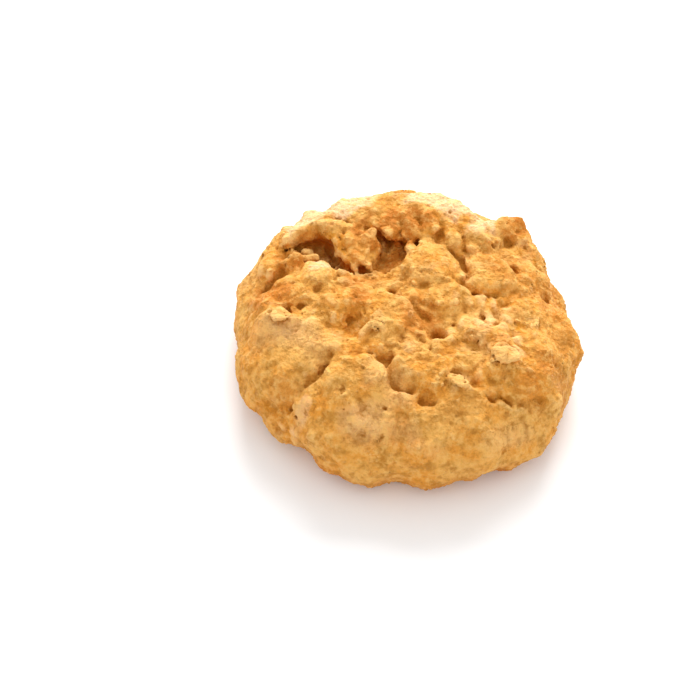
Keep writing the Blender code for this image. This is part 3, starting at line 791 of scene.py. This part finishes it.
    def add_crumbs(self, count, sizes, seed, where):
        """Stick small round crumbs on the surface."""
        draw = np.random.default_rng(seed + 1)
        shifts = [bent - plain for bent, plain in zip(self.bent, self.plain)]
        places, outward = self.surface_spots(count, seed, where)
        radii = sizes[0] + (sizes[1] - sizes[0]) * draw.random(count) ** 2
        for place, direction, radius in zip(places, outward, radii):
            centre = place + direction * radius * draw.uniform(-0.5, 0.35)
            index = tuple(int((c - axis[0]) / STEP) for c, axis in zip(centre, AXES))
            bent_centre = [c + shift[index] for c, shift in zip(centre, shifts)]
            w = ball_window(centre, radius + 0.8)
            away = distance(self.bent, bent_centre, w) - radius
            self.field[w] = blend_min(self.field[w], away, LOOSE_CRUMB_ROUNDING)

    def cut_pores(self, count, sizes, seed, where):
        """Cut small round pores into the surface."""
        draw = np.random.default_rng(seed + 1)
        places, outward = self.surface_spots(count, seed, where)
        radii = sizes[0] + (sizes[1] - sizes[0]) * draw.random(count) ** 3
        for place, direction, radius in zip(places, outward, radii):
            centre = place + direction * radius * draw.uniform(-0.6, 0.5)
            w = ball_window(centre, radius + 0.8)
            away = radius - distance(self.plain, centre, w)
            self.field[w] = blend_max(self.field[w], away, PORE_ROUNDING)

    def flake_place(self, x, y, turn, tilt):
        """Place just under the surface at x, y, and a frame whose third axis points out of it.

        That axis leans back by tilt from the bare dome's.
        """
        column = [int((c - axis[0]) / STEP) for c, axis in zip((x, y), AXES)]
        filled = np.flatnonzero(self.field[column[0], column[1]] < 0.0)
        z = float(AXES[2][filled[-1]]) - SHOWN_FLAKE_SINK
        long_way = np.array((math.cos(turn), math.sin(turn), 0.0))
        fall_x = float(dome_height(x - 1.0, y) - dome_height(x + 1.0, y)) / 2.0
        fall_y = float(dome_height(x, y - 1.0) - dome_height(x, y + 1.0)) / 2.0
        out = np.array((fall_x, fall_y + math.tan(tilt), 1.0))
        out /= np.linalg.norm(out)
        across = np.cross(out, long_way)
        across /= np.linalg.norm(across)
        return np.array((x, y, z)), np.stack([np.cross(across, out), across, out], axis=1)

    def add_flake(self, centre, turn, length, thickness, cup, paleness):
        """Bake in one rolled-oat flake: a thin cupped oval."""
        w = ball_window(centre, 0.5 * length + 1.0)
        local = [self.bent[axis][w] - centre[axis] for axis in range(3)]
        u, v, height = (sum(turn[axis][row] * local[axis] for axis in range(3)) for row in range(3))
        half_long, half_wide = 0.5 * length, FLAKE_HALF_WIDTH * length
        oval = (np.sqrt((u / half_long) ** 2 + (v / half_wide) ** 2) - 1.0) * half_wide
        sheet = np.abs(height - cup * (u * u + v * v) / length) - 0.5 * thickness
        flake = blend_max(oval + self.frayed[w], sheet, FLAKE_RIM_ROUNDING)
        shown = flake < self.field[w]
        self.oat[w] = np.where(shown, paleness * (flake < 0.4), self.oat[w])
        self.field[w] = blend_min(self.field[w], flake, FLAKE_ROUNDING)

    def add_grain(self):
        """The finest crumbs and dents all over, flakes too, less the thin splinters they leave."""
        self.break_up(*FINE_CRUMBS, self.crumbly)
        self.field -= layered_noise(FINE_DENTS)
        inside = (self.field < 0.0).astype(np.float32)
        self.field += smooth_step(*SPLINTER_SHARES, box_blur(inside, round(SPLINTER_REACH / STEP)))

    def press_bottom(self):
        """Press the bottom flat on the table."""
        z = self.plain[2]
        self.field = blend_max(self.field, -z.astype(np.float32), FOOT_ROUNDING)


def surface_mesh(field):
    """Points and four-sided faces of the field's zero surface, by surface nets."""
    inside = field < 0.0
    corners = [(i, j, k) for i in (0, 1) for j in (0, 1) for k in (0, 1)]
    size = [n - 1 for n in field.shape]
    count = np.zeros(size, np.int8)
    for i, j, k in corners:
        count += inside[i:i + size[0], j:j + size[1], k:k + size[2]]
    cells = np.argwhere((count > 0) & (count < 8))
    number = np.full(size, -1, np.int32)
    number[tuple(cells.T)] = np.arange(len(cells))
    total = np.zeros((len(cells), 3))
    crossings = np.zeros(len(cells))
    for a in corners:
        for b in corners:
            if sum(b) - sum(a) != 1 or any(q < p for p, q in zip(a, b)):
                continue
            fa = field[tuple((cells + a).T)]
            fb = field[tuple((cells + b).T)]
            cross = (fa < 0.0) != (fb < 0.0)
            t = np.where(cross, fa / np.where(cross, fa - fb, 1.0), 0.0)
            crossing = np.array(a) + t[:, None] * (np.array(b) - np.array(a))
            total += np.where(cross[:, None], crossing, 0.0)
            crossings += cross
    points = cells + total / crossings[:, None]
    faces = []
    for axis in range(3):
        one, two = (axis + 1) % 3, (axis + 2) % 3
        low = [slice(1, -1)] * 3
        low[axis] = slice(0, -1)
        high = list(low)
        high[axis] = slice(1, None)
        here, ahead = inside[tuple(low)], inside[tuple(high)]
        edges = np.argwhere(here != ahead)
        leaving = here[tuple(edges.T)]
        edges = edges + [0 if a == axis else 1 for a in range(3)]
        ring = []
        for back_one, back_two in ((0, 0), (1, 0), (1, 1), (0, 1)):
            cell = edges.copy()
            cell[:, one] -= back_one
            cell[:, two] -= back_two
            ring.append(number[tuple(cell.T)])
        quads = np.stack(ring, axis=1)
        faces.append(np.where(leaving[:, None], quads[:, ::-1], quads))
    return largest_shell(points, np.concatenate(faces))


def largest_shell(points, faces):
    """The points and faces of the largest connected surface, without loose scraps."""
    label = np.arange(len(points))
    while True:
        lowest = label[faces].min(axis=1)
        joined = label.copy()
        for column in faces.T:
            np.minimum.at(joined, column, lowest)
        joined = joined[joined]
        if np.array_equal(joined, label):
            break
        label = joined
    kept = label == np.bincount(label).argmax()
    number = np.cumsum(kept) - 1
    return points[kept], number[faces[kept[faces[:, 0]]]]


def sample(volume, points):
    """Value of a volume at the sample nearest to each point."""
    index = np.rint(points).astype(int)
    index = np.clip(index, 0, np.array(volume.shape) - 1)
    return volume[tuple(index.T)]


def box_blur(volume, reach):
    """Mean over a cube of samples around each sample."""
    for axis in range(3):
        sums = np.concatenate([np.zeros_like(volume.take([0], axis)), volume.cumsum(axis)], axis)
        length = volume.shape[axis]
        upper = np.clip(np.arange(length) + reach + 1, 0, length)
        lower = np.clip(np.arange(length) - reach, 0, length)
        shape = [1, 1, 1]
        shape[axis] = length
        samples = (upper - lower).reshape(shape)
        volume = (sums.take(upper, axis) - sums.take(lower, axis)) / samples
    return volume


def random_turn(draw, outward, tilt):
    """Rows of a turned frame whose third axis leans from outward by up to tilt radians."""
    lean = np.array(outward) + math.tan(tilt) * draw.standard_normal(3) * 0.6
    lean /= np.linalg.norm(lean)
    side = np.cross(lean, draw.standard_normal(3))
    side /= np.linalg.norm(side)
    return np.stack([side, np.cross(lean, side), lean], axis=1)


def bake_in_flakes(crust, before_caves):
    """Bake in the flakes that show in their places, and the random ones between them."""
    draw = np.random.default_rng(FLAKE_SIZES_SEED)
    for x, y, length, turn_degrees, tilt_degrees in SHOWN_FLAKES:
        turn_angle, tilt = math.radians(turn_degrees), math.radians(tilt_degrees)
        centre, turn = crust.flake_place(x, y, turn_angle, tilt)
        crust.add_flake(centre, turn, length, *SHOWN_FLAKE_BUILD)
    where = crust.rough * before_caves * (crust.rough > LOOSE_FLAKE_PLACES)
    places, outward = crust.surface_spots(LOOSE_FLAKES, FLAKE_PLACES_SEED, where)
    for place, direction in zip(places, outward):
        direction = direction + np.array((0.0, 0.0, LOOSE_FLAKE_LEVELLING))
        direction /= np.linalg.norm(direction)
        turn = random_turn(draw, direction, LOOSE_FLAKE_LEAN)
        build = [draw.uniform(*span) for span in LOOSE_FLAKE_RANGES]
        crust.add_flake(place - direction * LOOSE_FLAKE_SINK, turn, *build)


def grow_crust():
    """Grow the whole crust: dome, relief, flakes, crumbs and pores."""
    crust = Crust()
    x, y, z = crust.plain
    side = (1.0 - crust.rough) * (z > 1.0)
    before_caves = np.hypot((x - CAVES_MIDDLE[0]) / CAVES_REACH[0],
                            (y - CAVES_MIDDLE[1]) / CAVES_REACH[1]) > 1.0
    bake_in_flakes(crust, before_caves)
    crust.add_grain()
    crust.add_crumbs(*TOP_CRUMBS, crust.rough)
    crust.add_crumbs(*SIDE_CRUMBS, side)
    crust.cut_pores(*TOP_PORES, crust.rough * before_caves)
    crust.cut_pores(*SIDE_PORES, side)
    crust.press_bottom()
    return crust


def surface_marks(crust, points):
    """What the colours need to know of each point.

    oat: bare oat flake; amber: syrupy dough; hollow: share of dough in the cube around it, which
    paints a highlight on peaks and shade in hollows; shelter: share of dough over it, which paints
    shade under overhangs; sunk: depth under the bare dome, which paints shade deep down; toast: how
    toasted, with painted shade and painted highlight spots in it.
    """
    inside = (crust.field < 0.0).astype(np.float32)
    around = box_blur(inside, round(HOLLOW_REACH / STEP))
    overhead = box_blur(inside, round(OVERHEAD_REACH / STEP))
    overhead = np.roll(overhead, -round(OVERHEAD_SHIFT / STEP), axis=2)
    away_from_side = smooth_step(*OVERHEAD_FADE, sample(crust.share, points))
    return {
        "oat": sample(crust.oat, points),
        "amber": sample(crust.amber, points),
        "hollow": sample(around, points),
        "overhang_shade": sample(overhead, points) * away_from_side,
        "sunk": -sample(crust.hull, points),
        "toast_and_shading": sample(crust.toast_and_shading, points),
    }


def crust_object():
    """The crust as a mesh that carries its marks."""
    crust = grow_crust()
    points, faces = surface_mesh(crust.field)
    marks = surface_marks(crust, points)
    start = np.array([axis[0] for axis in AXES])
    places = points * STEP + start
    middle = 0.5 * (places.min(axis=0) + places.max(axis=0))
    low, high = cad_box
    for axis in (0, 1):
        places[:, axis] += 1000.0 * 0.5 * (low[axis] + high[axis]) - middle[axis]
    places[:, 2] = np.clip(places[:, 2], 0.0, None)
    mesh = bpy.data.meshes.new("cookie_crust")
    mesh.vertices.add(len(places))
    mesh.vertices.foreach_set("co", (places * MM).ravel())
    mesh.loops.add(4 * len(faces))
    mesh.loops.foreach_set("vertex_index", faces.ravel().astype(np.int32))
    mesh.polygons.add(len(faces))
    mesh.polygons.foreach_set("loop_start", np.arange(0, 4 * len(faces), 4, dtype=np.int32))
    mesh.update(calc_edges=True)
    for name, values in marks.items():
        layer = mesh.attributes.new(name, "FLOAT", "POINT")
        layer.data.foreach_set("value", values.astype(np.float32))
    mesh.validate()
    mesh.shade_smooth()
    crust_piece = bpy.data.objects.new("cookie_crust", mesh)
    bpy.context.scene.collection.objects.link(crust_piece)
    return crust_piece


# ---------------- materials
def linear(hex_code):
    """Linear colour of an sRGB hex value."""
    values = [int(hex_code[i:i + 2], 16) / 255.0 for i in (1, 3, 5)]
    levels = (v / 12.92 if v <= 0.04045 else ((v + 0.055) / 1.055) ** 2.4 for v in values)
    return (*levels, 1.0)


def add_node(tree, kind, inputs=None, **settings):
    """Add a node with its settings; an input is a value or the socket that feeds it."""
    node = tree.nodes.new(kind)
    for name, value in settings.items():
        setattr(node, name, value)
    for key, value in (inputs or {}).items():
        if isinstance(value, bpy.types.NodeSocket):
            tree.links.new(value, node.inputs[key])
        else:
            node.inputs[key].default_value = value
    return node


def new_material(name):
    """An empty node material and its tree."""
    material = bpy.data.materials.new(name)
    material.use_nodes = True
    material.node_tree.nodes.clear()
    return material, material.node_tree


def per_mm(size):
    """Texture scale for a pattern of this size in millimetres, on coordinates in metres."""
    return 1.0 / (size * MM)


def baked_oat_dough():
    """Dough of rolled oats, syrup and butter, spooned on a sheet and baked till golden.

    It dries as it bakes, so it is crumbly and nearly matt, with a faint buttery sheen. Its
    bare oats stay pale, its peaks get a painted highlight, and painted shade darkens the hollows,
    the trough, the caves, the lip's underside and, in part, the foot; light that goes a little
    way into the crumbs warms the edges of the shadows.
    """
    material, tree = new_material("baked_oat_dough")
    place = add_node(tree, "ShaderNodeTexCoord").outputs["Object"]
    marks = {name: add_node(tree, "ShaderNodeAttribute", attribute_name=name).outputs["Fac"]
             for name in ("oat", "amber", "hollow", "overhang_shade", "sunk", "toast_and_shading")}
    # Patches of dough, clots of syrup in it, and oat meal, whose real grains of about half a
    # millimetre are drawn coarser to show
    patches, blotches, grain = (
        add_node(tree, "ShaderNodeTexNoise", {
            "Vector": place, "Scale": per_mm(size), "Detail": 3.0, "Roughness": roughness,
        }).outputs["Fac"] for size, roughness in ((7.0, 0.5), (3.0, 0.5), (1.4, 0.6)))
    untoasted = add_node(tree, "ShaderNodeMapRange", {
        "Value": marks["toast_and_shading"], "From Min": 0.2, "From Max": 0.8, "To Min": 0.6, "To Max": 0.0})
    # Each layer of colour over those before it: what shows it, the values between which it
    # comes in, how much of it shows at most, and its colour
    layers = (
        (patches, 0.40, 0.60, 1.0, "#E29636"),  # deeper golden dough
        (blotches, 0.50, 0.62, 0.65, "#B67C2C"),  # browned syrup in the dough
        (marks["amber"], 0.0, 1.0 / 0.7, 1.0, "#D88C1E"),  # syrupy dough between the crumbs
        (marks["toast_and_shading"], 0.05, 1.0, 0.85, "#C87420"),  # toasted, and painted shade under the lip, in the caves and along the foot
        (marks["toast_and_shading"], -0.1, -0.8, 0.95, "#FACE9A"),  # pale and hardly baked, and painted light on the far rim and the near side
        (grain, 0.50, 0.64, 0.6, "#F3BC68"),  # pale meal
        (grain, 0.47, 0.34, 0.55, "#B27222"),  # dark meal
        (marks["oat"], 0.0, 1.0 / 0.7, 1.0, "#F7C684"),  # bare oat
        (marks["hollow"], 0.44, 0.30, untoasted.outputs["Result"], "#F9C87C"),  # painted highlight on the peaks, less where toasted
        (marks["hollow"], 0.53, 0.72, 0.9, "#AC6A12"),  # painted shade in the hollows, browner
        (marks["sunk"], 1.6, 4.4, 0.6, "#A05A08"),  # painted shade deep in the trough and the caves
        (marks["overhang_shade"], 0.25, 0.75, 0.85, "#CC6A08"),  # painted shade, orange, under the lip's overhang
    )
    colour = linear("#E8AC56")
    for pattern, low, high, most, tint in layers:
        share = add_node(tree, "ShaderNodeMapRange", {
            "Value": pattern, "From Min": low, "From Max": high, "To Max": most})
        mix = add_node(tree, "ShaderNodeMix", {
            "Factor": share.outputs["Result"], "A": colour, "B": linear(tint)}, data_type="RGBA")
        colour = mix.outputs["Result"]
    # Crumbs of about a millimetre, and meal on them that is drawn coarser to show
    crumbs = add_node(tree, "ShaderNodeTexVoronoi", {
        "Vector": place, "Scale": per_mm(1.2), "Smoothness": 0.3}, feature="SMOOTH_F1")
    crumbly = add_node(tree, "ShaderNodeBump", {
        "Height": crumbs.outputs["Distance"], "Strength": 0.6, "Distance": 0.3 * MM}, invert=True)
    meal = add_node(tree, "ShaderNodeTexNoise", {
        "Vector": place, "Scale": per_mm(0.7), "Detail": 4.0})
    mealy = add_node(tree, "ShaderNodeBump", {
        "Height": meal.outputs["Fac"], "Strength": 1.0, "Distance": 0.7 * MM,
        "Normal": crumbly.outputs["Normal"]})
    shader = add_node(tree, "ShaderNodeBsdfPrincipled", {
        "Base Color": colour, "Normal": mealy.outputs["Normal"], "Roughness": 0.65,
        "IOR": 1.45, "Specular IOR Level": 0.2, "Subsurface Weight": 0.08,
        "Subsurface Radius": (1.0, 0.6, 0.3), "Subsurface Scale": 0.5 * MM})
    add_node(tree, "ShaderNodeOutputMaterial", {"Surface": shader.outputs["BSDF"]})
    return material


def white_table():
    """White laminate, pressed smooth and matt: an even white with hardly any sheen."""
    material, tree = new_material("white_laminate")
    place = add_node(tree, "ShaderNodeTexCoord").outputs["Object"]
    cloud = add_node(tree, "ShaderNodeTexNoise", {
        "Vector": place, "Scale": per_mm(60.0), "Detail": 2.0})
    tone = add_node(tree, "ShaderNodeMix", {
        "Factor": cloud.outputs["Fac"], "A": linear("#F7F7F7"), "B": linear("#FAFAFA"),
    }, data_type="RGBA")
    shader = add_node(tree, "ShaderNodeBsdfPrincipled", {
        "Base Color": tone.outputs["Result"], "Roughness": 0.6})
    add_node(tree, "ShaderNodeOutputMaterial", {"Surface": shader.outputs["BSDF"]})
    return material


# ---------------- the scene
def make_cookie():
    """The crust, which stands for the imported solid."""
    piece = crust_object()
    piece.data.materials.append(baked_oat_dough())
    triangles = 2 * len(piece.data.polygons)
    if triangles > MOST_TRIANGLES:
        simplify = piece.modifiers.new("simplify", "DECIMATE")
        simplify.ratio = MOST_TRIANGLES / triangles
        graph = bpy.context.evaluated_depsgraph_get()
        mesh = bpy.data.meshes.new_from_object(piece.evaluated_get(graph))
        piece.modifiers.clear()
        piece.data = mesh
        mesh.shade_smooth()
    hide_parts("cookie")
    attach(piece, "root")


TABLE_WIDTH = 4.0  # metres


def make_table():
    """A pale plain table top."""
    bpy.ops.mesh.primitive_plane_add(size=TABLE_WIDTH, location=(0.0, 0.0, 0.0))
    table = bpy.context.object
    table.name = "table"
    table.data.materials.append(white_table())


ELEVATION = 52.0  # of the camera over the table, degrees
DISTANCE = 320.6  # from the camera to the biscuit
LENS = 85.0
SENSOR = 36.0
PHOTO_PIXELS = 700
AIM_HEIGHT = 9.0  # of the point the camera is placed by, over the table
# Where the biscuit's middle lies from the picture's, pixels right and down
COOKIE_PLACE = (56.4, -21.5)


def make_camera():
    """The camera at the photograph's viewing angle, level and without shift."""
    slope = math.radians(ELEVATION)
    ahead = Vector((0.0, math.cos(slope), -math.sin(slope)))
    right = Vector((1.0, 0.0, 0.0))
    up = right.cross(ahead)
    pixels_per_slope = LENS / SENSOR * PHOTO_PIXELS
    off_right, off_down = (DISTANCE * p / pixels_per_slope for p in COOKIE_PLACE)
    place = Vector((0.0, 0.0, AIM_HEIGHT)) - ahead * DISTANCE - right * off_right + up * off_down
    data = bpy.data.cameras.new("camera")
    data.lens = LENS
    data.sensor_width = SENSOR
    camera = bpy.data.objects.new("camera", data)
    bpy.context.scene.collection.objects.link(camera)
    turn = Matrix((right, up, -ahead)).transposed().to_4x4()
    camera.matrix_world = Matrix.Translation(place * MM) @ turn
    bpy.context.scene.camera = camera


LAMP_POWER = 7.4  # watts
LAMP_SIZE = 0.5  # metres
LAMP_DISTANCE = 0.8  # metres
LAMP_DIRECTION = (0.1, 0.82, 0.56)  # from the biscuit to the lamp


def make_lights():
    """A large soft lamp above and behind the biscuit, in a white room."""
    lamp = bpy.data.lights.new("key", "AREA")
    lamp.energy = LAMP_POWER
    lamp.size = LAMP_SIZE
    key = bpy.data.objects.new("key", lamp)
    bpy.context.scene.collection.objects.link(key)
    towards = Vector(LAMP_DIRECTION).normalized()
    key.location = towards * LAMP_DISTANCE
    key.rotation_euler = towards.to_track_quat("Z", "Y").to_euler()
    world = bpy.data.worlds.new("white_room")
    bpy.context.scene.world = world
    world.use_nodes = True
    background = world.node_tree.nodes["Background"]
    background.inputs["Color"].default_value = (1.0, 1.0, 1.0, 1.0)
    background.inputs["Strength"].default_value = 1.0
    bpy.context.scene.view_settings.view_transform = "Standard"


make_camera()
make_lights()
make_table()
make_cookie()
